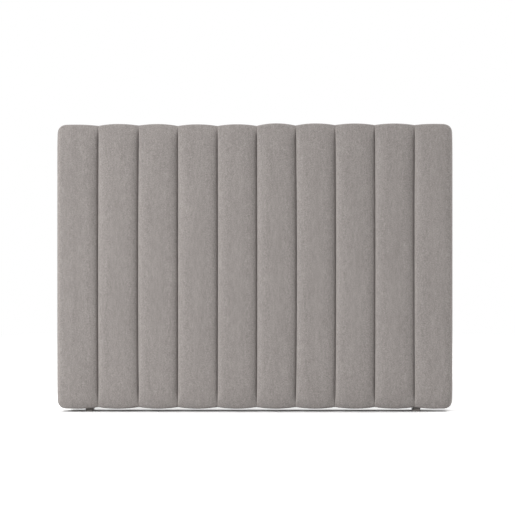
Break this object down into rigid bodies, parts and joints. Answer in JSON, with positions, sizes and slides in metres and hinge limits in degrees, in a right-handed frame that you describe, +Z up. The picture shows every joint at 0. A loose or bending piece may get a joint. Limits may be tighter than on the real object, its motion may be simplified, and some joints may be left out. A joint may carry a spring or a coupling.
{
  "type": "headboard",
  "caption": "Wide floor-standing bed headboard, padded in upright fabric channels over a timber frame, on low block feet.",
  "frame": {"origin": "on the floor, at the middle of the panel's width and depth", "axes": "+X to the right as seen from the bed, +Y from the padded front to the back, +Z up"},
  "size_m": [1.65, 0.1, 1.204],
  "materials": {
    "upholstery_fabric": "matte",
    "padding_foam": "matte",
    "timber": "matte",
    "plywood": "matte",
    "zinc_steel": "satin",
    "dust_cloth": "matte",
    "foot_plastic": "matte"
  },
  "bodies": {
    "root": {"top_rail": "timber", "bottom_rail": "timber", "stile_left": "timber", "stile_right": "timber", "stud_left": "timber", "stud_middle": "timber", "stud_right": "timber", "corner_blocks": "timber", "front_board": "plywood", "joint_plates": "zinc_steel", "threaded_inserts": "zinc_steel", "channel_foam_01": "padding_foam", "channel_foam_02": "padding_foam", "channel_foam_03": "padding_foam", "channel_foam_04": "padding_foam", "channel_foam_05": "padding_foam", "channel_foam_06": "padding_foam", "channel_foam_07": "padding_foam", "channel_foam_08": "padding_foam", "channel_foam_09": "padding_foam", "channel_foam_10": "padding_foam", "cover_strip_01": "upholstery_fabric", "cover_strip_02": "upholstery_fabric", "cover_strip_03": "upholstery_fabric", "cover_strip_04": "upholstery_fabric", "cover_strip_05": "upholstery_fabric", "cover_strip_06": "upholstery_fabric", "cover_strip_07": "upholstery_fabric", "cover_strip_08": "upholstery_fabric", "cover_strip_09": "upholstery_fabric", "cover_strip_10": "upholstery_fabric", "dust_cover": "dust_cloth", "foot_left": "foot_plastic", "foot_right": "foot_plastic"}
  },
  "joints": []
}
